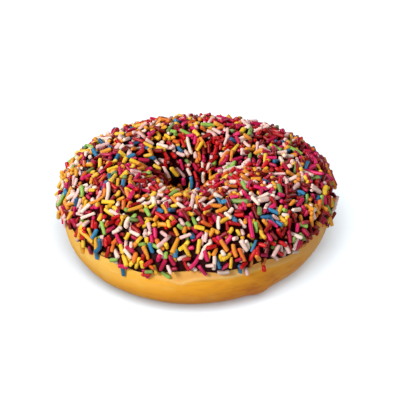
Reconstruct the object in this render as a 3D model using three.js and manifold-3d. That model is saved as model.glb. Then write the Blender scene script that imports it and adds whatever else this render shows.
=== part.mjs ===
// A ring doughnut: a ring of fried yeast dough, dipped in dark chocolate icing and then in sugar sprinkles.
// Millimetres, +Z up. The origin is the middle of the underside that it rests on, and -Y is its front.
// The dough is one solid. The icing is a second one, a skin over the upper half and down into the hole,
// with the larger sprinkles fused to it.
//
// Places on the ring are given by two angles, in degrees: turn goes round the ring, from 0 at +X,
// and roll goes round its section, from 0 at the outer side over the top at 90 to the hole at 180
// and the underside at 270. Nothing is quite even: what strays round the ring does so in waves, each given
// as its height, the number of times that it goes round, and the angle at which it starts.

import * as THREE from "three";
import { mergeVertices } from "three/addons/utils/BufferGeometryUtils.js";
import Module from "manifold-3d";

// ---- The dough ring
const RING_RADIUS = 46; // from the ring's axis to its outer side
const OUTLINE_WAVES = [[1, 2, 0], [1.1, 3, 0]]; // a little oval, and three-sided with a full front
const RING_AXIS = new THREE.Vector2(0, 1); // set back, because the front is the fullest side
const HOLE_RADIUS = 9; // at its narrowest
const HOLE_SHIFT = new THREE.Vector2(-3, -1); // the hole stands left of the ring's axis
const DOUGH_HEIGHT = 31;
const CREST_WAVES = [[0.5, 1, -30]];
const OUTER_WAIST = 15; // height at which the outside is widest
const HOLE_WAIST = 18; // height at which the hole is narrowest
const TOP_ROUNDNESS = 2.1; // exponents of the section's two halves: 2 is an ellipse, more is boxier
const UNDER_ROUNDNESS = 2.32;
const SUNK = 1; // the under half is this much deeper than the surface that it stands on, and cut flat there

// ---- The icing, taken as thick as it is with the small sprinkles that crowd it
const ICING_OVER_DOUGH = 2.2; // from the dough to the icing's face
const ICING_LIP = 0.9; // the same at its two edges
const ICING_TAPER = 0.08; // share of its width, from each edge, over which it thins out
const ICING_GAP = 0.35; // clearance under the icing
const OUTER_EDGE_ROLL = 8; // where it ends on the outside
const OUTER_EDGE_WAVES = [[3.1, 4, 66], [2.1, 11, 54]];
const HOLE_EDGE_ROLL = 196; // where it ends in the hole
const HOLE_EDGE_WAVES = [[4, 3, 20]];

// ---- The sprinkles that are fused to it
const SPRINKLES = 220;
const SPRINKLED_SHARES = [0.01, 0.97]; // they lie between these shares of the icing's width
const SPRINKLE_RADIUS = 0.75;
const SPRINKLE_LENGTHS = [5.4, 7.2]; // shortest and longest
const SPRINKLE_SIDES = 5;
const SPRINKLE_SINK = 0.1; // how far a sprinkle's axis lies below the icing's face
const STEEP_ROLL = 125; // past this roll, on the hole's wall, sprinkles lie nearly up and down
const STEEP_YAW = 30; // and stray this far from it
const SPRINKLE_SEED = 11;

// ---- Facets
const TURNS = 40;
const DOUGH_ROLLS = 24;
const ICING_ROLLS = 12; // points across the icing's face, and as many across its underside
const AREA_STEPS = 400; // over which the sprinkled band's area is added up

const radians = THREE.MathUtils.degToRad;
const mix = THREE.MathUtils.lerp;

// How far some waves stray at one turn.
function strayOf(waves, turn) {
  const heights = waves.map(([height, times, start]) => height * Math.sin(radians(times * turn + start)));
  return heights.reduce((sum, height) => sum + height, 0);
}

// A power that keeps the sign, from which a superellipse is made.
function signedPower(value, power) {
  return Math.sign(value) * Math.abs(value) ** power;
}

// From the ring's axis to the hole's wall, which is a circle about a shifted middle.
function holeRadius(turn) {
  const along = HOLE_SHIFT.x * Math.cos(radians(turn)) + HOLE_SHIFT.y * Math.sin(radians(turn));
  return along + Math.sqrt(along ** 2 - HOLE_SHIFT.lengthSq() + HOLE_RADIUS ** 2);
}

// A point of the dough's surface. The section is a superellipse, cut flat where it stands.
function doughPoint(turn, roll) {
  const across = Math.cos(radians(roll));
  const up = Math.sin(radians(roll));
  const power = 2 / (up >= 0 ? TOP_ROUNDNESS : UNDER_ROUNDNESS);
  const outer = RING_RADIUS + strayOf(OUTLINE_WAVES, turn);
  const inner = holeRadius(turn);
  const radius = (outer + inner) / 2 + (signedPower(across, power) * (outer - inner)) / 2;
  const waist = mix(OUTER_WAIST, HOLE_WAIST, (1 - across) / 2);
  const crest = DOUGH_HEIGHT + strayOf(CREST_WAVES, turn);
  const reach = up >= 0 ? crest - waist : waist + SUNK;
  const height = Math.max(0, waist + signedPower(up, power) * reach);
  return new THREE.Vector3(
    RING_AXIS.x + radius * Math.cos(radians(turn)),
    RING_AXIS.y + radius * Math.sin(radians(turn)),
    height,
  );
}

// The surface's frame at a point: along the ring, up the section, and outwards from the dough.
function surfaceFrame(turn, roll) {
  const step = 0.5;
  const along = doughPoint(turn + step, roll).sub(doughPoint(turn - step, roll)).normalize();
  const upwards = doughPoint(turn, roll + step).sub(doughPoint(turn, roll - step)).normalize();
  const outwards = new THREE.Vector3().crossVectors(along, upwards).normalize();
  return { along, upwards, outwards };
}

function abovePoint(turn, roll, lift) {
  return doughPoint(turn, roll).addScaledVector(surfaceFrame(turn, roll).outwards, lift);
}

// A closed ring: a torus's grid of faces, with each vertex moved to where pointAt(turn, section point) says.
function ringGeometry(sectionPoints, pointAt) {
  const geometry = new THREE.TorusGeometry(2, 1, sectionPoints, TURNS);
  const position = geometry.getAttribute("position");
  for (let j = 0; j <= sectionPoints; j++) {
    for (let i = 0; i <= TURNS; i++) {
      const point = pointAt((360 * (i % TURNS)) / TURNS, j % sectionPoints);
      position.setXYZ(j * (TURNS + 1) + i, point.x, point.y, point.z);
    }
  }
  return geometry;
}

function doughGeometry() {
  return ringGeometry(DOUGH_ROLLS, (turn, j) => doughPoint(turn, (360 * j) / DOUGH_ROLLS));
}

// The roll at which the icing ends, on the outside and in the hole.
function outerEdge(turn) {
  return OUTER_EDGE_ROLL + strayOf(OUTER_EDGE_WAVES, turn);
}

function holeEdge(turn) {
  return HOLE_EDGE_ROLL + strayOf(HOLE_EDGE_WAVES, turn);
}

// The roll at a share of the way from the icing's outer edge to its edge in the hole.
function icingRoll(turn, share) {
  return mix(outerEdge(turn), holeEdge(turn), share);
}

// How far the icing's face lies over the dough at a share of that way.
function icingLift(share) {
  return mix(ICING_LIP, ICING_OVER_DOUGH, Math.min(share / ICING_TAPER, (1 - share) / ICING_TAPER, 1));
}

// The icing's section runs over its face from the outer edge to the hole's, and back underneath.
function icingPoint(turn, j) {
  const onFace = j < ICING_ROLLS;
  const share = (onFace ? j : 2 * ICING_ROLLS - 1 - j) / (ICING_ROLLS - 1);
  return abovePoint(turn, icingRoll(turn, share), onFace ? icingLift(share) : ICING_GAP);
}

// Numbers from 0 to 1, the same on each run.
function randomNumbers(seed) {
  let state = seed;
  return () => {
    state = (state + 0x6d2b79f5) | 0;
    let mixed = Math.imul(state ^ (state >>> 15), 1 | state);
    mixed = (mixed + Math.imul(mixed ^ (mixed >>> 7), 61 | mixed)) ^ mixed;
    return ((mixed ^ (mixed >>> 14)) >>> 0) / 2 ** 32;
  };
}

// One rod of sugar paste with blunt ends, lying on the icing at a yaw from the ring's direction.
function sprinkleGeometry(turn, share, yaw, length) {
  const roll = icingRoll(turn, share);
  const { along, upwards, outwards } = surfaceFrame(turn, roll);
  const axis = along.multiplyScalar(Math.cos(yaw)).addScaledVector(upwards, Math.sin(yaw));
  const side = new THREE.Vector3().crossVectors(outwards, axis);
  const middle = abovePoint(turn, roll, icingLift(share) - SPRINKLE_SINK);
  const circle = new THREE.ArcCurve(0, 0, SPRINKLE_RADIUS, Math.PI / 2, (5 * Math.PI) / 2);
  const section = new THREE.Shape(circle.getPoints(SPRINKLE_SIDES));
  return new THREE.ExtrudeGeometry(section, { depth: length, bevelEnabled: false })
    .translate(0, 0, -length / 2)
    .applyMatrix4(new THREE.Matrix4().makeBasis(side, outwards, axis).setPosition(middle));
}

// Shares of the icing's width that part its sprinkled band into equal areas, one for each sprinkle. The area
// that a step up the section sweeps round the ring goes by the step's length and its distance from the axis.
function evenShares() {
  const [first, last] = SPRINKLED_SHARES;
  const pointAt = (way) => doughPoint(0, icingRoll(0, mix(first, last, way)));
  const areas = [0];
  for (let i = 0; i < AREA_STEPS; i++) {
    const here = pointAt(i / AREA_STEPS);
    const next = pointAt((i + 1) / AREA_STEPS);
    areas.push(areas[i] + here.distanceTo(next) * (here.x + next.x));
  }
  const shares = [];
  for (let i = 0, step = 0; i < SPRINKLES; i++) {
    const area = (areas[AREA_STEPS] * (i + 0.5)) / SPRINKLES;
    while (areas[step + 1] < area) step++;
    const way = step + (area - areas[step]) / (areas[step + 1] - areas[step]);
    shares.push(mix(first, last, way / AREA_STEPS));
  }
  return shares;
}

// Sprinkles in the order of a sunflower's seeds, each a golden angle on from the one before.
function sprinkleGeometries() {
  const goldenAngle = 180 * (3 - Math.sqrt(5));
  const random = randomNumbers(SPRINKLE_SEED);
  return evenShares().map((share, i) => {
    const turn = goldenAngle * i;
    const steepYaw = 90 + STEEP_YAW * (2 * random() - 1);
    const yaw = icingRoll(turn, share) > STEEP_ROLL ? steepYaw : 180 * random();
    return sprinkleGeometry(turn, share, radians(yaw), mix(...SPRINKLE_LENGTHS, random()));
  });
}

// ---- Solids
const wasm = await Module();
wasm.setup();

function solidOf(geometry) {
  geometry.deleteAttribute("normal");
  geometry.deleteAttribute("uv");
  const merged = mergeVertices(geometry, 1e-4);
  const mesh = new wasm.Mesh({
    numProp: 3,
    vertProperties: new Float32Array(merged.getAttribute("position").array),
    triVerts: new Uint32Array(merged.index.array),
  });
  return new wasm.Manifold(mesh);
}

function geometryOf(solid) {
  const mesh = solid.getMesh();
  const geometry = new THREE.BufferGeometry();
  geometry.setAttribute("position", new THREE.BufferAttribute(mesh.vertProperties, mesh.numProp));
  geometry.setIndex(new THREE.BufferAttribute(mesh.triVerts, 1));
  geometry.computeVertexNormals();
  return geometry;
}

function namedMesh(name, solid, material) {
  const mesh = new THREE.Mesh(geometryOf(solid), new THREE.MeshStandardMaterial(material));
  mesh.name = name;
  return mesh;
}

const dough = solidOf(doughGeometry());
let icing = solidOf(ringGeometry(2 * ICING_ROLLS, icingPoint));
for (const sprinkle of sprinkleGeometries()) {
  icing = icing.add(solidOf(sprinkle));
}

const doughnut = new THREE.Group();
doughnut.add(
  namedMesh("dough_ring", dough, { color: 0xdf9d3c, roughness: 0.6, metalness: 0 }),
  namedMesh("icing_with_sprinkles", icing, { color: 0x2a1410, roughness: 0.3, metalness: 0 }),
);

export default doughnut;
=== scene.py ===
import math

import bpy
import numpy as np
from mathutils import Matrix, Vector, noise
from mathutils.bvhtree import BVHTree


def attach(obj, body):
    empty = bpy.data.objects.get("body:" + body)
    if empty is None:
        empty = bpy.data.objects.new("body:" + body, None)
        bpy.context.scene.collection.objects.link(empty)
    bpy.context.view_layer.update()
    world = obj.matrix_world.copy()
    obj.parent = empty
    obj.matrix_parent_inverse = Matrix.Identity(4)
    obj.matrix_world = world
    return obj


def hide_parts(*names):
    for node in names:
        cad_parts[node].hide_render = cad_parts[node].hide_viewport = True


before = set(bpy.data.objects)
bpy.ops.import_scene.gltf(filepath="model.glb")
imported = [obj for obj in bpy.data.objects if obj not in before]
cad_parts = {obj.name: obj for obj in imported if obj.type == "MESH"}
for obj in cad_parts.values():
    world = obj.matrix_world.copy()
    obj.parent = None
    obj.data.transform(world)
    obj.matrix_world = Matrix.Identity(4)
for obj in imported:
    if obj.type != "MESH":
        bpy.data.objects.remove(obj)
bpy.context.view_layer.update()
MM = 0.001


# ==== The dough ring
# A ring of yeast dough, proved and fried on both sides. It is golden where it lay in the oil, and keeps a
# paler collar round its waist, where it floated clear of it. It stands on the flat of its underside.

# Places on the ring are given by two angles, in degrees: turn goes round the ring, from 0 at +X, and roll
# goes round its section, from 0 at the outer side over the top at 90 to the hole at 180. A side of the ring
# is given by the turn of its middle and how far it spreads from there. Waves are given as their height, the
# number of times that they go round, and the angle at which they start.
RING_RADIUS = 46 * MM
OUTLINE_WAVES = [(1.0 * MM, 2, 0), (1.1 * MM, 3, 0)]
RING_AXIS = (0, 1 * MM)
HOLE_RADIUS = 9 * MM
HOLE_SHIFT = (-3 * MM, -1 * MM)
DOUGH_HEIGHT = 31 * MM
CREST_WAVES = [(0.5 * MM, 1, -30)]
OUTER_WAIST = 15 * MM  # height at which the section is widest
HOLE_WAIST = 18 * MM  # and at which the hole is narrowest
TOP_ROUNDNESS = 2.1  # of the section: 2 is an ellipse, and more is squarer
UNDER_ROUNDNESS = 2.32
SUNK = 1 * MM  # how deep a slice the flat cuts off the underside


def stray(waves, turn):
    """How far something wavy strays from its mean at a turn."""
    return sum(height * np.sin(np.radians(times * turn + start)) for height, times, start in waves)


def signed_power(value, power):
    return np.sign(value) * np.abs(value) ** power


def skin(turn, roll):
    """Points of the dough's skin before it is made uneven."""
    cos_turn, sin_turn = np.cos(np.radians(turn)), np.sin(np.radians(turn))
    across, up = np.cos(np.radians(roll)), np.sin(np.radians(roll))
    along_shift = HOLE_SHIFT[0] * cos_turn + HOLE_SHIFT[1] * sin_turn
    shift_squared = HOLE_SHIFT[0] ** 2 + HOLE_SHIFT[1] ** 2
    inner = along_shift + np.sqrt(along_shift**2 - shift_squared + HOLE_RADIUS**2)
    outer = RING_RADIUS + stray(OUTLINE_WAVES, turn)
    power = 2 / np.where(up >= 0, TOP_ROUNDNESS, UNDER_ROUNDNESS)
    radius = (outer + inner) / 2 + signed_power(across, power) * (outer - inner) / 2
    waist = OUTER_WAIST + (HOLE_WAIST - OUTER_WAIST) * (1 - across) / 2
    reach = np.where(up >= 0, DOUGH_HEIGHT + stray(CREST_WAVES, turn) - waist, waist + SUNK)
    height = np.maximum(0, waist + signed_power(up, power) * reach)
    return np.stack([RING_AXIS[0] + radius * cos_turn, RING_AXIS[1] + radius * sin_turn, height], axis=-1)


def unit(vectors):
    return vectors / np.linalg.norm(vectors, axis=-1, keepdims=True)


def skin_frame(turn, roll, step=0.5):
    """Three directions at a point of the skin: along the ring, up the section, and out of the dough."""
    along = unit(skin(turn + step, roll) - skin(turn - step, roll))
    upwards = unit(skin(turn, roll + step) - skin(turn, roll - step))
    return along, upwards, unit(np.cross(along, upwards))


def near(turn, middle, spread):
    """1 in the middle of a side of the ring, falling away round the ring both ways."""
    return np.exp(-((((turn - middle + 180) % 360 - 180) / spread) ** 2))


def smooth_step(low, high, value):
    """0 up to low and 1 from high, with a smooth rise between. Low may be the greater of the two."""
    share = np.clip((value - low) / (high - low), 0, 1)
    return share * share * (3 - 2 * share)


def lumpiness(points, lumps, seed):
    """How far an uneven surface rises at each point, summed over lumps of several sizes."""
    rise = np.zeros(points.shape[:-1])
    for number, (height, spacing) in enumerate(lumps):
        shift = Vector((seed * 7.3, number * 5.1, seed + number))
        values = [noise.noise(Vector(point) / spacing + shift) for point in points.reshape(-1, 3)]
        rise += height * np.array(values).reshape(rise.shape)
    return rise


def closed_grid(rows, columns):
    """The faces of a grid of points that closes on itself both ways."""
    row, column = np.meshgrid(np.arange(rows), np.arange(columns), indexing="ij")
    next_row, next_column = (row + 1) % rows, (column + 1) % columns
    corners = [(row, column), (row, next_column), (next_row, next_column), (next_row, column)]
    return np.stack([r * columns + c for r, c in corners], axis=-1).reshape(-1, 4)


# The skin's own relief: lumps all over, the faint ridge that parts the pale collar from the browner skin
# below it, and low on the front right a fold with a slanting groove beside it.
DOUGH_TURNS = 420  # points round the ring
DOUGH_ROLLS = 200  # points round its section
LUMPS = [(0.40 * MM, 17 * MM), (0.08 * MM, 5 * MM), (0.03 * MM, 1.6 * MM)]  # height and spacing
LUMPS_SEED = 3
RIDGE_HEIGHT = 15.5 * MM
RIDGE_WAVES = [(0.35 * MM, 2, 250), (0.2 * MM, 5, 20), (0.35 * MM, 15, 322)]
RIDGE_RISE = 0.3 * MM
RIDGE_WIDTH = 0.6 * MM
LOW_SIDE = (345, 30)  # where the ridge runs lower
LOW_DIP = 5.5 * MM
PLAIN_SIDE = (205, 66)  # where there is no ridge and no collar
PLAIN_FADE = (0.2, 0.6)  # where they come in: 0 is the middle of that side, and 1 is well away from it
FAINT_SIDE = (345, 36)  # where the ridge is blurred
FAINT_FADE = (0.25, 0.8)  # where the blur comes in: 0 is well away from that side, and 1 is its middle
FAINTNESS = 0.85
CREASE_TURN = 264  # where the ridge drops to a soft point, with a crease above it
CREASE_DROP = 1.5 * MM
CREASE_SPREAD = 3.5
CREASE_DEPTH = 0.25 * MM
CREASE_SHARPNESS = 2  # how many times narrower it is than the point
CREASE_FADE = 1 * MM
FOLD_SIDE = (301, 5)
FOLD_RISE = 0.8 * MM
FOLD_BAND = (13 * MM, 5 * MM)  # height at which it starts, and from which down it is full
GROOVE_SIDE = (289, 2.2)
GROOVE_SLANT = 2.2  # degrees of turn for each millimetre of height
GROOVE_DEPTH = 0.35 * MM
GROOVE_BAND = (15 * MM, 8 * MM)

dough_turns, dough_rolls = np.meshgrid(
    np.arange(DOUGH_TURNS) * 360 / DOUGH_TURNS,
    np.arange(DOUGH_ROLLS) * 360 / DOUGH_ROLLS,
)
smooth_skin = skin(dough_turns, dough_rolls)
heights = smooth_skin[..., 2]
outside = np.where((dough_rolls < 90) | (dough_rolls > 270), 1.0, 0.0)

from_crease = np.abs((dough_turns - CREASE_TURN + 180) % 360 - 180) / CREASE_SPREAD
ridge = RIDGE_HEIGHT + stray(RIDGE_WAVES, dough_turns)
ridge -= CREASE_DROP * np.exp(-from_crease)
ridge -= LOW_DIP * near(dough_turns, *LOW_SIDE)
above_ridge = heights - ridge
ridge_bulge = np.exp(-((above_ridge / RIDGE_WIDTH) ** 2))
collared = smooth_step(*PLAIN_FADE, 1 - near(dough_turns, *PLAIN_SIDE))
ridged = collared * (1 - FAINTNESS * smooth_step(*FAINT_FADE, near(dough_turns, *FAINT_SIDE)))
folded = near(dough_turns, *FOLD_SIDE) * smooth_step(*FOLD_BAND, heights)
grooved = near(dough_turns - heights / MM * GROOVE_SLANT, *GROOVE_SIDE) * smooth_step(*GROOVE_BAND, heights)
creased = np.exp(-from_crease * CREASE_SHARPNESS) * smooth_step(0, CREASE_FADE, above_ridge)

relief = lumpiness(smooth_skin, LUMPS, LUMPS_SEED)
relief += outside * ridged * RIDGE_RISE * ridge_bulge
relief += outside * FOLD_RISE * folded
relief -= outside * GROOVE_DEPTH * grooved
relief -= outside * CREASE_DEPTH * creased
dough_points = smooth_skin + skin_frame(dough_turns, dough_rolls)[2] * relief[..., None]
dough_points[..., 2] = np.maximum(dough_points[..., 2], 0)
dough_faces = closed_grid(DOUGH_ROLLS, DOUGH_TURNS)


class Wire:
    """A socket of a material's nodes. Sums written on it add Math nodes, or Vector Math nodes to a vector."""

    def __init__(self, tree, socket=None):
        self.tree = tree
        self.socket = socket

    def node(self, kind, settings, sockets, output=0):
        """A new node of that kind: its settings are made first, then its sockets are filled or linked."""
        made = self.tree.nodes.new("ShaderNode" + kind)
        for name, value in settings.items():
            setattr(made, name, value)
        for name, value in sockets.items():
            if isinstance(value, Wire):
                self.tree.links.new(value.socket, made.inputs[name])
            else:
                made.inputs[name].default_value = value
        return Wire(self.tree, made.outputs[output] if made.outputs else None)

    def maths(self, operation, first, second):
        kind = "VectorMath" if self.socket.type == "VECTOR" else "Math"
        return self.node(kind, {"operation": operation}, {0: first, 1: second})

    def __add__(self, other):
        return self.maths("ADD", self, other)

    def __radd__(self, other):
        return self.maths("ADD", other, self)

    def __sub__(self, other):
        return self.maths("SUBTRACT", self, other)

    def __rsub__(self, other):
        return self.maths("SUBTRACT", other, self)

    def __mul__(self, other):
        return self.maths("MULTIPLY", self, other)

    def __rmul__(self, other):
        return self.maths("MULTIPLY", other, self)

    def mix(self, low, high):
        """The colour low where this is 0, and high where it is 1."""
        return self.node("Mix", {"data_type": "RGBA"}, {0: self, 6: low, 7: high}, output=2)

    def ease(self, low, high):
        """0 where this is under low, 1 where it is over high, and a smooth rise between."""
        settings = {"interpolation_type": "SMOOTHSTEP"}
        return self.node("MapRange", settings, {"Value": self, "From Min": low, "From Max": high})


def shade(red, green, blue):
    """A colour from its three parts as they look on a screen, 0 to 255."""
    linear = [((v / 255 + 0.055) / 1.055) ** 2.4 if v > 10 else v / 255 / 12.92 for v in (red, green, blue)]
    return (*linear, 1.0)


def new_material(name):
    """A material, and the wire from which its nodes are made."""
    material = bpy.data.materials.new(name)
    material.use_nodes = True
    material.node_tree.nodes.clear()
    return material, Wire(material.node_tree)


def finish_material(start, sockets):
    """Sends the sockets of a Principled shader to the material's output."""
    shader = start.node("BsdfPrincipled", {}, sockets)
    start.node("OutputMaterial", {}, {"Surface": shader})


def stored(start, name):
    """The number that a piece keeps under that name for each point of its mesh."""
    return start.node("Attribute", {"attribute_name": name}, {}, output="Fac")


def grain(start, spacing, detail=2.0, stretch=(1, 1, 1)):
    """Noise from 0 to 1. Its grains lie this far apart, and so many times closer along each axis."""
    place = start.node("TexCoord", {}, {}, output="Object") * tuple(part / spacing for part in stretch)
    return start.node("TexNoise", {}, {"Vector": place, "Scale": 1.0, "Detail": detail})


GOLDEN_SHADE = shade(255, 179, 36)
BROWN_SHADE = shade(228, 126, 20)
BLOTCH_SHADE = shade(255, 202, 100)
STREAK_SHADE = shade(216, 116, 26)
STAIN_SHADE = shade(206, 96, 20)
# Painted highlight: a paler shade laid on the upper part of the dough's left side, where the key lamp shines
PAINTED_HIGHLIGHT_SHADE = shade(255, 212, 118)
TAN_SHADE = shade(232, 170, 88)
COLLAR_SHADE = shade(233, 170, 84)
# Painted highlight along the ridge; the collar's own random blotches are also paled towards this shade
RIDGE_HIGHLIGHT_AND_BLOTCH_SHADE = shade(253, 222, 150)
BLOTCH_COVER = 0.35  # how strongly each shade covers those under it, up to 1
STREAK_COVER = 0.3
STAIN_COVER = 0.75
# How strongly the painted highlight covers, and how much more it shows in the streaks
PAINTED_HIGHLIGHT_COVER = 0.4
PAINTED_HIGHLIGHT_STREAK_COVER = 0.5
TAN_COVER = 0.75
# How strongly the painted highlight along the ridge covers
RIDGE_HIGHLIGHT_COVER = 0.4
CRUMB_GRAIN = (0.7 * MM, 3.0)  # spacing and detail of each grain, and how it is pressed along each axis
BLOTCH_GRAIN = (9 * MM, 3.0)
STREAK_GRAIN = (5 * MM, 4.0, (1, 1, 5))
STAIN_GRAIN = (5 * MM, 2.0, (1, 1, 2))
BLOTCH_FADE = (0.48, 0.75)  # levels of the grain between which each of them comes in
STREAK_FADE = (0.42, 0.72)
STAIN_FADE = (0.42, 0.68)

dough_material, start = new_material("fried_dough")
crumbs = grain(start, *CRUMB_GRAIN)
blotches = grain(start, *BLOTCH_GRAIN).ease(*BLOTCH_FADE)
streaks = grain(start, *STREAK_GRAIN).ease(*STREAK_FADE)
stains = grain(start, *STAIN_GRAIN).ease(*STAIN_FADE)
crust = stored(start, "browning").mix(GOLDEN_SHADE, BROWN_SHADE)
for cover, tone in [  # each covers those before it
    (BLOTCH_COVER * blotches, BLOTCH_SHADE),
    (STREAK_COVER * streaks, STREAK_SHADE),
    (stored(start, "stained") * stains * STAIN_COVER, STAIN_SHADE),
    # the painted highlight on the lit left side, stronger in the streaks
    (stored(start, "pale") * (PAINTED_HIGHLIGHT_COVER + PAINTED_HIGHLIGHT_STREAK_COVER * streaks), PAINTED_HIGHLIGHT_SHADE),
    (TAN_COVER * stored(start, "tan"), TAN_SHADE),
    (stored(start, "collar"), (BLOTCH_COVER * blotches).mix(COLLAR_SHADE, RIDGE_HIGHLIGHT_AND_BLOTCH_SHADE)),
    # the painted highlight along the ridge
    (RIDGE_HIGHLIGHT_COVER * stored(start, "ridge"), RIDGE_HIGHLIGHT_AND_BLOTCH_SHADE),
]:
    crust = cover.mix(crust, tone)
finish_material(start, {
    "Base Color": crust,
    "Roughness": 0.42 + 0.2 * crumbs,
    "Normal": start.node("Bump", {}, {"Strength": 0.35, "Distance": 0.12 * MM, "Height": crumbs}),
    "Subsurface Weight": 0.2,
    "Subsurface Radius": (1.0, 0.45, 0.18),
    "Subsurface Scale": 2 * MM,
    "Specular IOR Level": 0.2,
})

BROWNED_SIDE = (292, 50)
BROWNED_THERE = 0.8  # how much browner it is there than elsewhere
BROWNED_ELSEWHERE = 0.12
BROWNED_BAND = (19 * MM, 0)  # heights between which each colour fades in
STAINED_SIDE = (305, 24)
STAINED_BAND = (15 * MM, 8 * MM)
# Where the painted highlight lies: the side towards the key lamp, above a band of heights
PAINTED_HIGHLIGHT_SIDE = (219, 33)
PAINTED_HIGHLIGHT_BAND = (6 * MM, 13 * MM)
TAN_SIDE = (350, 36)
COLLAR_EDGE = (-0.5 * MM, 0.4 * MM)  # heights over the ridge between which the collar starts


def make_piece(name, points, faces, material, slot):
    """A smooth mesh piece that rides on the doughnut."""
    mesh = bpy.data.meshes.new(name)
    mesh.from_pydata(points.reshape(-1, 3).tolist(), [], faces)
    mesh.polygons.foreach_set("use_smooth", np.ones(len(mesh.polygons), bool))
    mesh.materials.append(material)
    piece = bpy.data.objects.new(name, mesh)
    bpy.context.scene.collection.objects.link(piece)
    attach(piece, "root")
    return piece


def store(piece, name, values):
    """Keeps one number for each point of a piece's mesh, for its material to read."""
    attribute = piece.data.attributes.new(name, "FLOAT", "POINT")
    attribute.data.foreach_set("value", np.asarray(values, np.float32).ravel())


dough = make_piece("dough", dough_points, dough_faces.tolist(), dough_material, "dough")
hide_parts("dough_ring")
browned = BROWNED_ELSEWHERE + BROWNED_THERE * near(dough_turns, *BROWNED_SIDE)
store(dough, "browning", smooth_step(*BROWNED_BAND, heights) * browned)
store(dough, "stained", smooth_step(*STAINED_BAND, heights) * near(dough_turns, *STAINED_SIDE))
# "pale" holds the painted highlight on the upper left side, towards the key lamp
store(dough, "pale", smooth_step(*PAINTED_HIGHLIGHT_BAND, heights) * near(dough_turns, *PAINTED_HIGHLIGHT_SIDE))
store(dough, "tan", near(dough_turns, *TAN_SIDE))
store(dough, "collar", collared * smooth_step(*COLLAR_EDGE, above_ridge))
# "ridge" holds the painted highlight along the ridge
store(dough, "ridge", ridged * ridge_bulge)


# ==== The chocolate icing
# Dark chocolate icing into which the ring was dipped upside down. It covers the upper half and runs down
# into the hole, and set with a rounded wavy edge. The sprinkles stick to it while it is soft.

ICING_THICKNESS = 0.9 * MM
ICING_UNDER = -0.3 * MM  # its underside lies just inside the dough's skin
ICING_EDGE = 1.3 * MM  # width over which its edge rounds off
OUTER_EDGE_ROLL = 8
OUTER_EDGE_WAVES = [(3.1, 4, 66), (2.1, 11, 54), (0.7, 23, 10)]
HOLE_EDGE_ROLL = 196
HOLE_EDGE_WAVES = [(4, 3, 20)]
ICING_TURNS = 420  # points round the ring
ICING_STEPS = 110  # points from edge to edge
ICING_LUMPS = [(0.25 * MM, 9 * MM), (0.10 * MM, 2.6 * MM)]
ICING_LUMPS_SEED = 5
ICING_WIDTH = 62 * MM  # from edge to edge over the top
CHOCOLATE_SHADE = shade(34, 4, 4)
MILKIER_SHADE = shade(50, 8, 7)
RIPPLE_SPACING = 1.1 * MM
CLOUD_SPACING = 6 * MM


def icing_roll(turn, share):
    """The roll at a share of the way from the icing's outer edge to its edge in the hole."""
    outer = OUTER_EDGE_ROLL + stray(OUTER_EDGE_WAVES, turn)
    inner = HOLE_EDGE_ROLL + stray(HOLE_EDGE_WAVES, turn)
    return outer + (inner - outer) * share


icing_material, start = new_material("dark_chocolate_icing")
ripples = grain(start, RIPPLE_SPACING)
clouds = grain(start, CLOUD_SPACING)
finish_material(start, {
    "Base Color": clouds.mix(CHOCOLATE_SHADE, MILKIER_SHADE),
    "Roughness": 0.45 + 0.2 * clouds,
    "Normal": start.node("Bump", {}, {"Strength": 0.5, "Distance": 0.15 * MM, "Height": ripples}),
    "Specular IOR Level": 0.08,
})

steps = (1 - np.cos(np.linspace(0, math.pi, ICING_STEPS))) / 2  # closer together at the edges
icing_turns, shares = np.meshgrid(np.arange(ICING_TURNS) * 360 / ICING_TURNS, steps)
icing_rolls = icing_roll(icing_turns, shares)
out_of_dough = skin_frame(icing_turns, icing_rolls)[2]
covered_skin = skin(icing_turns, icing_rolls)
icing_under = covered_skin + out_of_dough * ICING_UNDER
from_edge = np.minimum(shares, 1 - shares) * ICING_WIDTH
rounding = np.sqrt(1 - (1 - np.clip(from_edge / ICING_EDGE, 0, 1)) ** 2)
lift = ICING_THICKNESS * rounding + lumpiness(icing_under, ICING_LUMPS, ICING_LUMPS_SEED) * rounding
icing_face = covered_skin + out_of_dough * lift[..., None]
icing_points = np.concatenate([icing_face, icing_under[::-1]]).reshape(-1, 3)
icing_faces = closed_grid(2 * ICING_STEPS, ICING_TURNS)
icing = make_piece("icing", icing_points, icing_faces.tolist(), icing_material, "chocolate_icing")
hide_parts("icing_with_sprinkles")


# ==== The sprinkles
# Small rods of sugar paste, cut from strings and polished with wax. The iced side is pressed into a tray of
# them: some stick with one end in the icing, and the rest lie on it and on each other.

SPRINKLE_SEED = 57
SPRINKLE_RADIUS = 0.68 * MM
RADIUS_SPREAD = 0.1
COMMON_LENGTH = (3.9 * MM, 0.65 * MM)  # mean and spread
COMMON_LIMITS = (2.6 * MM, 5.6 * MM)
SHORT_LENGTH = (2.0 * MM, 3.0 * MM)  # least and greatest
LONG_LENGTH = (5.4 * MM, 7.6 * MM)
SHORT_SHARE = 0.1
LONG_SHARE = 0.1
PLACES = 11900  # that are tried for them
SPRINKLED_ROLLS = (4, 188)  # between which they are tried
AREA_TURNS = 72  # steps in which the icing's area is measured
AREA_ROLLS = 400
DOWNHILL = 90  # the yaw of one that points straight downhill
SLOPING_ROLL = 45  # under this roll some of them lie more or less downhill
SLOPING_SHARE = 0.5
SLOPING_SPREAD = 35
STEEP_ROLL = 112  # past this roll, in the hole, they all lie nearly up and down
STEEP_SPREAD = 20

random = np.random.default_rng(SPRINKLE_SEED)

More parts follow.
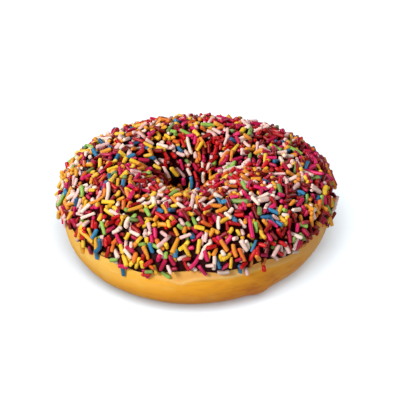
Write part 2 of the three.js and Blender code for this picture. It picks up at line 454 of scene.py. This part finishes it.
# Even places on the icing: its area up to each roll, from which a roll is drawn. A yaw is the angle between
# a sprinkle and the way along the ring.
roll_steps = np.linspace(*SPRINKLED_ROLLS, AREA_ROLLS)
ring_points = skin(*np.meshgrid(np.arange(AREA_TURNS) * 360 / AREA_TURNS, roll_steps))
girths = np.linalg.norm(np.roll(ring_points, -1, axis=1) - ring_points, axis=-1).sum(axis=1)
step_lengths = np.linalg.norm(np.diff(ring_points, axis=0), axis=-1).mean(axis=1)
areas = np.concatenate([[0], np.cumsum(step_lengths * (girths[1:] + girths[:-1]) / 2)])
turns = random.uniform(0, 360, PLACES)
rolls = np.interp(random.uniform(0, areas[-1], PLACES), areas, roll_steps)
yaws = random.uniform(0, 180, PLACES)
sloping = (rolls < SLOPING_ROLL) & (random.random(PLACES) < SLOPING_SHARE)
yaws = np.where(sloping, random.normal(DOWNHILL, SLOPING_SPREAD, PLACES), yaws)
yaws = np.where(rolls > STEEP_ROLL, random.normal(DOWNHILL, STEEP_SPREAD, PLACES), yaws)
sizes = random.random(PLACES)
lengths = np.clip(random.normal(*COMMON_LENGTH, PLACES), *COMMON_LIMITS)
lengths = np.where(sizes < SHORT_SHARE, random.uniform(*SHORT_LENGTH, PLACES), lengths)
lengths = np.where(sizes >= 1 - LONG_SHARE, random.uniform(*LONG_LENGTH, PLACES), lengths)
radii = SPRINKLE_RADIUS * random.normal(1, RADIUS_SPREAD, PLACES)

# At the icing's outer edge most of them end, and the pile thins out. A few hang over it, but not at the
# front, where those that hang are given one by one below.
HANGING_SHARE = 0.012
HANGING_TURNS = (5, 205)
HANGING_ROLLS = (1, 3)  # mean and spread, up from the edge
HANGING_SPREAD = 28
HANGING_REACH = 4.5 * MM  # how far they may reach past the edge
EDGE_REACH = 0.2 * MM  # and how far the others may
EDGE_BAND = 5 * MM  # over which the pile thins out
HIGHEST = 2.9 * MM  # that one may lie over the dough
HIGHEST_AT_EDGE = 2.1 * MM
CLINGING = 0.7  # share of the places at the top of the hole's wall where one clings
CLINGING_DEEP = 0.4  # and further down in the hole
DEEP_ROLL = 150
THIN_SIDE = (277, 45)  # where some places stay bare, because the pile is thin
THIN_UNDER = 75  # roll up to which it is thin
THIN_SHARE = 0.2

edge_rolls = icing_roll(turns, 0)
hanging = random.random(PLACES) < HANGING_SHARE
hanging &= (turns > HANGING_TURNS[0]) & (turns < HANGING_TURNS[1])
rolls = np.where(hanging, edge_rolls + random.normal(*HANGING_ROLLS, PLACES), rolls)
yaws = np.radians(np.where(hanging, random.normal(DOWNHILL, HANGING_SPREAD, PLACES), yaws))
inside = np.linalg.norm(skin(turns, rolls) - skin(turns, edge_rolls), axis=-1) * np.sign(rolls - edge_rolls)
allowed = inside - np.abs(np.sin(yaws)) * lengths / 2 > -np.where(hanging, HANGING_REACH, EDGE_REACH)
clinging = CLINGING + (CLINGING_DEEP - CLINGING) * smooth_step(STEEP_ROLL, DEEP_ROLL, rolls)
allowed &= (rolls < STEEP_ROLL) | (random.random(PLACES) < clinging)
allowed &= (rolls > THIN_UNDER) | (random.random(PLACES) > THIN_SHARE * near(turns, *THIN_SIDE))
limits = HIGHEST_AT_EDGE + (HIGHEST - HIGHEST_AT_EDGE) * smooth_step(0, EDGE_BAND, inside)
along, upwards, outwards = skin_frame(turns, rolls)
directions = along * np.cos(yaws)[:, None] + upwards * np.sin(yaws)[:, None]
columns = (skin(turns, rolls), directions, outwards, lengths, radii, limits, inside)
free_places = zip(*(column[allowed] for column in columns))

# The ones placed one by one: colour, turn and roll of the middle, yaw in degrees, and length in millimetres.
HUNG_IN_FRONT = [
    ("yellow", 216, 2, 73, 5.4),
    ("pink", 222, 6, 80, 3.6),
    ("blue", 226, 6, 80, 4.2),
    ("red", 239, 15, 104, 4.5),
    ("blue", 240, 1, 84, 4.6),
    ("yellow", 243, 16, 116, 3.8),
    ("yellow", 245, 16, 67, 3.8),
    ("pink", 250, 5, 109, 4.0),
    ("yellow", 254, 12, 117, 3.2),
    ("green", 258, 7, 143, 3.6),
    ("cream", 268, 18, 144, 3.9),
    ("pink", 272, 14, 125, 4.5),
    ("pink", 281, 16, 27, 3.5),
    ("cream", 288, 24, 72, 4.3),
    ("blue", 287, 10, 102, 3.6),
    ("cream", 290, 5, 98, 3.0),
    ("orange", 292, 16, 83, 4.9),
    ("orange", 298, 11, 82, 3.0),
    ("red", 298, 2, 101, 2.2),
    ("pink", 298, 18, 160, 2.8),
    ("cream", 303, 12, 137, 4.1),
    ("cream", 307, 17, 85, 4.9),
    ("cream", 309, 13, 64, 4.7),
    ("yellow", 316, 12, 49, 3.2),
]
HUNG_AT_ENDS = [  # over others, so that they are laid last
    ("pink", 356, -2, 84, 3.8),
    ("red", 351, -3, 80, 4.2),
    ("yellow", 346, 3, 100, 4.8),
    ("red", 354, 6, 95, 4.6),
    ("yellow", 350, 0, 96, 4.8),
    ("cream", 356, 14, 100, 4.6),
    ("red", 354, -2, 92, 5.2),
    ("yellow", 187, 2, 70, 3.6),
    ("pink", 191, 2, 105, 3.8),
]
STUCK = 500  # that stand with one end in the icing
STUCK_LONGEST = 4.4 * MM
STUCK_LEAN = (8, 20, 55)  # least, commonest and greatest angle to the icing
STUCK_DEPTH = 0.5 * MM
STUCK_ABOVE = 1 * MM  # how much higher than the lying ones they may reach
STUCK_CLEARANCE = 0.9  # how near their axes may come to that of another, as a share of the two radii
STUCK_SPOTS = 8  # along each, at which this is tested
TRIES = 2  # places that a lying one tries before it takes the lowest
LYING_CLEARANCE = 0.94  # the same share for the lying ones
LYING_SPOTS = 10  # along each, on which it may rest
LYING_SINK = 0.45  # share of its radius by which a lying one sinks into the icing
FLANK = 0.7  # how far to its sides a lying one feels for the icing, in radii
FLANK_RISE = 0.3  # how much higher its underside is there
END_INSET = 0.6  # how far inside its tips it can rest, in radii
PILE_MIDDLE = 2 * MM  # height from which the neighbours of a lying one are looked for
PROBE = 5 * MM  # how far above and below a place the ground is felt for
TINY = 1e-12  # stands in for a squared length of nothing, by which nothing can be divided

START, END, LENGTH, RADIUS = slice(0, 3), slice(3, 6), 6, 7  # columns of the table of rods laid so far
laid = np.zeros((len(HUNG_IN_FRONT) + PLACES + len(HUNG_AT_ENDS), 8))
rods = []  # the same ones, as middle, axis, length and radius
ground_points = np.concatenate([icing_points, dough_points.reshape(-1, 3)])
ground_faces = np.concatenate([icing_faces, dough_faces + len(icing_points)])
ground = BVHTree.FromPolygons(ground_points.tolist(), ground_faces.tolist())


def keep_rod(middle, axis, length, radius):
    """Notes a rod as laid."""
    half = axis * (length / 2 - radius)
    laid[len(rods)] = [*(middle - half), *(middle + half), length, radius]
    rods.append((middle, axis, length, radius))


def neighbours(middle, length):
    """The rods laid so far that one of this length could touch."""
    others = laid[: len(rods)]
    middles = (others[:, START] + others[:, END]) / 2
    reach = (length + others[:, LENGTH]) / 2 + 2 * SPRINKLE_RADIUS
    return others[np.linalg.norm(middles - middle, axis=1) < reach]


def ground_height(point, out):
    """How high the icing or dough lies at a point, measured outwards."""
    hit = ground.ray_cast(Vector(point + out * PROBE), Vector(-out), 2 * PROBE)
    return PROBE - hit[3] if hit[0] else -PROBE


def needed_heights(point, direction, out, spots, radius, others):
    """How high each spot of a lying rod has to be to clear the icing and the rods already there."""
    side = np.cross(out, direction)
    flank = side * radius * FLANK
    lines = [[ground_height(point + direction * s + flank * k, out) for s in spots] for k in (-1, 0, 1)]
    heights = np.max(np.array(lines) - [[FLANK_RISE * radius], [0], [FLANK_RISE * radius]], axis=0)
    heights += radius * (1 - LYING_SINK)
    if len(others):
        basis = np.stack([direction, side, out], axis=1)
        starts, stops = ((others[:, end] - point) @ basis for end in (START, END))
        run = stops - starts
        squared = np.maximum((run[:, :2] ** 2).sum(axis=1), TINY)
        at = np.stack([spots, np.zeros(len(spots))], axis=1)
        share = ((at[:, None] - starts[None, :, :2]) * run[None, :, :2]).sum(axis=2) / squared
        share = np.clip(share, 0, 1)[..., None]
        nearest = starts[None] + share * run[None]
        apart = np.linalg.norm(nearest[..., :2] - at[:, None], axis=2)
        clear = LYING_CLEARANCE * (radius + others[:, RADIUS])
        over = nearest[..., 2] + np.sqrt(np.maximum(clear**2 - apart**2, 0))
        over[(apart > clear) | (nearest[..., 2] > HIGHEST)] = -1
        heights = np.maximum(heights, over.max(axis=1))
    return heights


def resting_line(spots, heights):
    """Height at the middle and slope of a rod that rests on two of its spots, one on each side."""
    left, right = np.meshgrid(np.flatnonzero(spots < 0), np.flatnonzero(spots > 0), indexing="ij")
    slope = (heights[right] - heights[left]) / (spots[right] - spots[left])
    middle = heights[left] - slope * spots[left]
    best = np.unravel_index(np.argmax(middle), middle.shape)
    return middle[best], slope[best]


def rest(point, direction, out, length, radius):
    """Height and slope of a rod that lies at a place."""
    half = length / 2 - radius * END_INSET
    spots = np.linspace(-half, half, LYING_SPOTS)
    others = neighbours(point + out * PILE_MIDDLE, length)
    return resting_line(spots, needed_heights(point, direction, out, spots, radius, others))


def hang(hung):
    """Lays the rods of a list where it places them."""
    for _, turn, roll, yaw, length in hung:
        along, upwards, out = skin_frame(turn, roll)
        direction = along * math.cos(math.radians(yaw)) + upwards * math.sin(math.radians(yaw))
        point = skin(turn, roll)
        height, slope = rest(point, direction, out, length * MM, SPRINKLE_RADIUS)
        keep_rod(point + out * height, unit(direction + out * slope), length * MM, SPRINKLE_RADIUS)


def distance(middle, axis, length, other):
    """How near the axis of a standing rod comes to that of another one."""
    run = other[END] - other[START]
    at = middle + axis * np.linspace(-length / 2, length / 2, STUCK_SPOTS)[:, None]
    share = np.clip((at - other[START]) @ run / max(run @ run, TINY), 0, 1)
    return np.linalg.norm(other[START] + share[:, None] * run - at, axis=1).min()


hang(HUNG_IN_FRONT)
for point, direction, out, length, radius, limit, from_edge in free_places:
    length = min(length, STUCK_LONGEST)
    lean = math.radians(random.triangular(*STUCK_LEAN))
    axis = direction * math.cos(lean) + out * math.sin(lean)
    foot = point + out * (ground_height(point, out) + radius * math.cos(lean) - STUCK_DEPTH)
    middle = foot + axis * length / 2
    if length * math.sin(lean) > limit + STUCK_ABOVE or from_edge < length:
        continue
    if all(
        distance(middle, axis, length, other) >= STUCK_CLEARANCE * (radius + other[RADIUS])
        for other in neighbours(middle, length)
    ):
        keep_rod(middle, axis, length, radius)
    if len(rods) == len(HUNG_IN_FRONT) + STUCK:
        break

for group in zip(*[free_places] * TRIES):
    rests = [rest(*place[:5]) for place in group]
    lowest = min(range(TRIES), key=lambda number: rests[number][0] - group[number][5])
    height, slope = rests[lowest]
    point, direction, out, length, radius, limit, _ = group[lowest]
    if height < limit:
        keep_rod(point + out * height, unit(direction + out * slope), length, radius)
hang(HUNG_AT_ENDS)

# The form of each one. Its ends are cut with more or less rounded and slanting caps, it is bent a little, and
# its section is uneven.
RING_SIDES = 10
BODY_RINGS = 4  # between its caps
CAP_ANGLES = np.radians([0, 26, 52, 76, 90])  # of a cap's rings, from the tip
CAP_DEPTH = (0.5, 1.2)  # in radii
CAP_BLUNTNESS = (2, 4.2)  # 2 is round, and more is flatter
SLANT_SPREAD = 0.3
SLANT_POWER = 8  # so high that the ends slant and the rest doesn't
BEND_SPREAD = 0.14  # in radians, from the middle to an end
HOOKED_SHARE = 0.07
HOOKED_BEND = (0.5, 1.1)
LEAST_BEND = 1e-3  # a straight one would have no centre to bend round
TAPER_SPREAD = 0.07
OVALNESS = 0.05
DENTS = 0.04
DENT_TWIST = 0.9 / MM  # radians by which the dents turn along it


def end_cap(half, radii):
    """Depth of a cap, and the width and place of its rings, from the tip inwards."""
    bluntness = random.uniform(*CAP_BLUNTNESS, half.shape)
    depth = radii * random.uniform(*CAP_DEPTH, half.shape)
    width = np.sin(CAP_ANGLES)[None] ** (2 / bluntness)
    return depth, width, half - depth * (1 - np.cos(CAP_ANGLES)[None] ** (2 / bluntness))


def rod_points(rods):
    """Points of sprinkles, ring by ring, with the two tips of each last."""
    count = len(rods)
    middles, axes, lengths, radii = (np.array(column) for column in zip(*rods))
    lengths, radii = lengths[:, None], radii[:, None]
    half = lengths / 2
    bend = random.normal(0, BEND_SPREAD, (count, 1))
    hooked = random.random((count, 1)) < HOOKED_SHARE
    bend = np.where(hooked, random.uniform(*HOOKED_BEND, (count, 1)), bend)
    curve = np.where(np.abs(bend) < LEAST_BEND, LEAST_BEND, bend) / half  # per metre
    first_depth, first_width, first_place = end_cap(half, radii)
    last_depth, last_width, last_place = end_cap(half, radii)
    body = np.linspace(0, 1, BODY_RINGS + 2)[None, 1:-1]
    body_place = first_depth - half + body * (2 * half - first_depth - last_depth)
    place = np.concatenate([-first_place, body_place, last_place[:, ::-1]], axis=1)
    width = np.concatenate([first_width, np.ones((count, BODY_RINGS)), last_width[:, ::-1]], axis=1)
    width *= 1 + random.normal(0, TAPER_SPREAD, (count, 1)) * place / half
    aside = unit(np.cross(axes, random.normal(size=(count, 3))))
    across = np.cross(axes, aside)
    around = np.arange(RING_SIDES) * 2 * math.pi / RING_SIDES
    phase = random.uniform(0, 2 * math.pi, (count, 1, 1))
    slant = random.normal(0, SLANT_SPREAD, (count, 1, 1)) * (np.abs(place / half) ** SLANT_POWER)[..., None]
    oval = OVALNESS * np.sin(2 * around + phase)
    dents = DENTS * np.sin(3 * around + 2 * phase + DENT_TWIST * place[..., None])
    ring_radius = (radii * width)[..., None] * (1 + oval + dents)
    angle = curve[..., None] * (place[..., None] + slant * ring_radius * np.cos(around + 3 * phase))
    from_centre = 1 / curve[..., None] - np.cos(around) * ring_radius
    points = (
        middles[:, None, None]
        + axes[:, None, None] * (np.sin(angle) * from_centre)[..., None]
        + aside[:, None, None] * (1 / curve[..., None] - np.cos(angle) * from_centre)[..., None]
        + across[:, None, None] * (np.sin(around) * ring_radius)[..., None]
    )
    return np.concatenate([points[:, 1:-1].reshape(count, -1, 3), points[:, [0, -1], 0]], axis=1)


def rod_faces(rings):
    """The faces of one sprinkle: the strips between its rings, and a fan to the tip at each end."""
    sides = [(side, (side + 1) % RING_SIDES) for side in range(RING_SIDES)]
    faces = []
    for ring in range(rings - 1):
        low, high = ring * RING_SIDES, (ring + 1) * RING_SIDES
        faces += [(low + side, low + after, high + after, high + side) for side, after in sides]
    top = (rings - 1) * RING_SIDES
    first_tip, last_tip = rings * RING_SIDES, rings * RING_SIDES + 1
    for side, after in sides:
        faces += [(first_tip, after, side), (last_tip, top + side, top + after)]
    return faces


# Each kind has its share of all of them, how much commoner it is on the left than in the middle, and the
# shades between which each one falls.
SPRINKLE_KINDS = {
    "pink": (0.15, -0.3, shade(168, 6, 46), shade(226, 30, 102)),
    "cream": (0.215, 0.0, shade(238, 182, 180), shade(250, 230, 210)),
    "yellow": (0.165, 0.7, shade(234, 146, 36), shade(254, 210, 52)),
    "orange": (0.095, 0.1, shade(216, 84, 28), shade(244, 158, 46)),
    "red": (0.225, -0.25, shade(94, 0, 4), shade(208, 14, 18)),
    "blue": (0.04, 0.1, shade(22, 80, 118), shade(56, 142, 190)),
    "green": (0.033, 0.0, shade(112, 132, 72), shade(152, 200, 84)),
}
TINT_SHAPE = (0.6, 0.6)  # below 1, so that most are near one or the other of their two shades
TINT_SHARE = 0.8
MOTTLE_SHARE = 0.3
MOTTLE_SPACING = 0.9 * MM
WAX_SPACING = 0.35 * MM
SMEAR_AND_PAINTED_SHADE = shade(46, 10, 8)  # of the icing smeared on their feet, and of the painted shade low in the pile
SMEAR_AND_SHADE_COVER = 0.85
SMEAR_AND_SHADE_TOP = 1.5 * MM  # how far from the icing they are neither smeared nor shaded
SMEAR_AND_SHADE_FOOT = 0.1 * MM


def sprinkle_material(name, dark, light):
    """Sugar paste, darkened towards the icing: partly icing smear on its foot, partly painted shade low in
    the pile.
    """
    material, start = new_material(name)
    mottle = grain(start, MOTTLE_SPACING)
    wax = grain(start, WAX_SPACING)
    paste = (TINT_SHARE * stored(start, "tint") + MOTTLE_SHARE * mottle).mix(dark, light)
    # How much of the paste's own colour shows; the rest is icing smear and painted shade near the icing
    paste_showing = 1 - SMEAR_AND_SHADE_COVER * stored(start, "smeared_and_shaded")
    finish_material(start, {
        "Base Color": paste_showing.mix(SMEAR_AND_PAINTED_SHADE, paste),
        "Roughness": 0.34 + 0.16 * mottle,
        "Normal": start.node("Bump", {}, {"Strength": 0.25, "Distance": 0.06 * MM, "Height": wax}),
        "Subsurface Weight": 0.06,
        "Subsurface Radius": (1.0, 0.7, 0.5),
        "Subsurface Scale": 0.5 * MM,
        "Specular IOR Level": 0.42,
    })
    return material


names = list(SPRINKLE_KINDS)
kind_shares = np.array([kind[0] for kind in SPRINKLE_KINDS.values()])
kind_lefts = np.array([kind[1] for kind in SPRINKLE_KINDS.values()])
leftness = np.array([-middle[0] / RING_RADIUS for middle, _, _, _ in rods])
chances = kind_shares * (1 + leftness[:, None] * kind_lefts)
drawn = random.random((len(rods), 1)) * chances.sum(axis=1, keepdims=True)
kinds = (drawn > np.cumsum(chances, axis=1)).sum(axis=1)
kinds[: len(HUNG_IN_FRONT)] = [names.index(hung[0]) for hung in HUNG_IN_FRONT]
kinds[-len(HUNG_AT_ENDS) :] = [names.index(hung[0]) for hung in HUNG_AT_ENDS]

icing_tree = BVHTree.FromPolygons(icing_points.tolist(), icing_faces.tolist())
one_rod = rod_faces(2 * len(CAP_ANGLES) + BODY_RINGS - 2)
for number, (name, (_, _, dark, light)) in enumerate(SPRINKLE_KINDS.items()):
    chosen = [rod for rod, kind in zip(rods, kinds) if kind == number]
    points = rod_points(chosen)
    per_rod = points.shape[1]
    points = points.reshape(-1, 3)
    faces = [tuple(corner + per_rod * i for corner in face) for i in range(len(chosen)) for face in one_rod]
    material = sprinkle_material("sugar_paste_" + name, dark, light)
    piece = make_piece("sprinkles_" + name, points, faces, material, "sprinkle_" + name)
    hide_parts("icing_with_sprinkles")
    store(piece, "tint", np.repeat(random.beta(*TINT_SHAPE, len(chosen)), per_rod))
    # Nearness to the icing, from which the darkening is laid: partly icing smear, partly painted shade low in
    # the pile
    from_icing = [icing_tree.find_nearest(Vector(point), SMEAR_AND_SHADE_TOP)[3] or SMEAR_AND_SHADE_TOP for point in points]
    store(piece, "smeared_and_shaded", smooth_step(SMEAR_AND_SHADE_TOP, SMEAR_AND_SHADE_FOOT, np.array(from_icing)))


# ==== The sheet and the sky
# The doughnut stands on a large sheet of white paper, under a sky that is white round the horizon and dim
# overhead. The paper glows a little, so that it stays white all round.

SHEET_SIZE = 40.0
SHEET_SHADE = shade(171, 178, 184)
SHEET_GLOW = 0.19
SKY_STRENGTH = 0.36
HORIZON_SHADE = (1.0, 1.0, 1.0, 1.0)
OVERHEAD_SHADE = (0.075, 0.075, 0.075, 1.0)
SKY_FADE = (-0.35, 0.1)  # heights between which the one turns into the other

sheet_mesh = bpy.data.meshes.new("white_sheet")
corners = [(-1, -1, 0), (1, -1, 0), (1, 1, 0), (-1, 1, 0)]
sheet_mesh.from_pydata([Vector(corner) * SHEET_SIZE / 2 for corner in corners], [], [(0, 1, 2, 3)])
sheet = bpy.data.objects.new("white_sheet", sheet_mesh)
bpy.context.scene.collection.objects.link(sheet)
sheet.visible_diffuse = False  # it throws no light back on the doughnut
sheet.visible_glossy = False
sheet_material, start = new_material("white_paper")
finish_material(start, {
    "Base Color": SHEET_SHADE,
    "Roughness": 0.9,
    "Specular IOR Level": 0.0,
    "Emission Color": shade(255, 255, 255),
    "Emission Strength": SHEET_GLOW,
})
sheet_mesh.materials.append(sheet_material)

world = bpy.data.worlds.new("pale_sky")
world.use_nodes = True
world.node_tree.nodes.clear()
start = Wire(world.node_tree)
facing = start.node("TexCoord", {}, {}, output="Generated")
facing_up = start.node("SeparateXYZ", {}, {"Vector": facing}, output="Z")
sky = facing_up.ease(*SKY_FADE).mix(HORIZON_SHADE, OVERHEAD_SHADE)
backdrop = start.node("Background", {}, {"Color": sky, "Strength": SKY_STRENGTH})
start.node("OutputWorld", {}, {"Surface": backdrop})
bpy.context.scene.world = world


# ==== The lamps
# Five soft lamps light the doughnut alone, the strongest from the front left. A wide even light falls on the
# sheet alone, from above the front, and leaves a soft grey shadow round the foot.

LAMP_DISTANCE = 0.85
LAMP_AIM = Vector((0, 0, 15 * MM))
LAMPS = {  # turn and rise of each in degrees, its power and its width
    "key_lamp": (224, 34, 6.5, 0.2),
    "fill_lamp": (295, 8, 2.6, 0.3),
    "top_lamp": (160, 62, 1.9, 0.2),
    "back_lamp": (35, 22, 1.6, 0.3),
    "rear_lamp": (120, 9, 3.0, 0.4),
}
SHEET_LIGHT_FROM = Vector((-0.06, -0.54, 0.8))
SHEET_LIGHT_POWER = 8.4
SHEET_LIGHT_SPREAD = math.radians(52)


def add_lamp(name, lamp, power, place, on_sheet):
    """A lamp that faces the doughnut. It lights either the sheet alone or all but the sheet."""
    lamp.energy = power
    holder = bpy.data.objects.new(name, lamp)
    holder.location = place
    holder.rotation_euler = (LAMP_AIM - place).to_track_quat("-Z", "Y").to_euler()
    bpy.context.scene.collection.objects.link(holder)
    lit = bpy.data.collections.new(name + "_lights")
    lit.objects.link(sheet)
    lit.collection_objects[0].light_linking.link_state = "INCLUDE" if on_sheet else "EXCLUDE"
    holder.light_linking.receiver_collection = lit


for name, (turn, rise, power, width) in LAMPS.items():
    turn, rise = math.radians(turn), math.radians(rise)
    way = Vector((math.cos(turn) * math.cos(rise), math.sin(turn) * math.cos(rise), math.sin(rise)))
    lamp = bpy.data.lights.new(name, "AREA")
    lamp.size = width
    add_lamp(name, lamp, power, way * LAMP_DISTANCE, on_sheet=False)

sheet_light = bpy.data.lights.new("sheet_light", "SUN")
sheet_light.angle = SHEET_LIGHT_SPREAD
add_lamp("sheet_light", sheet_light, SHEET_LIGHT_POWER, SHEET_LIGHT_FROM, on_sheet=True)


# ==== The camera
# It looks down on the front of the doughnut from just over half a metre away, through a long lens. It is
# moved a little up and to the right, so that the doughnut stands just off the middle of the frame.

CAMERA_RISE = math.radians(29.34)
CAMERA_DISTANCE = 550 * MM
CAMERA_LENS = 143.5
AIM = Vector((0, 1, 14.33)) * MM
PAN_RIGHT = 0.98 * MM
PAN_UP = 3.41 * MM

back = Vector((0, -math.cos(CAMERA_RISE), math.sin(CAMERA_RISE)))
up = Vector((0, math.sin(CAMERA_RISE), math.cos(CAMERA_RISE)))
camera_data = bpy.data.cameras.new("camera")
camera_data.lens = CAMERA_LENS
camera_data.sensor_width = 36
camera_data.clip_start = 0.01
camera_data.clip_end = 50
camera = bpy.data.objects.new("camera", camera_data)
camera.location = AIM + back * CAMERA_DISTANCE + Vector((PAN_RIGHT, 0, 0)) + up * PAN_UP
camera.rotation_euler = (-back).to_track_quat("-Z", "Y").to_euler()
bpy.context.scene.collection.objects.link(camera)
bpy.context.scene.camera = camera
bpy.context.scene.view_settings.view_transform = "Standard"
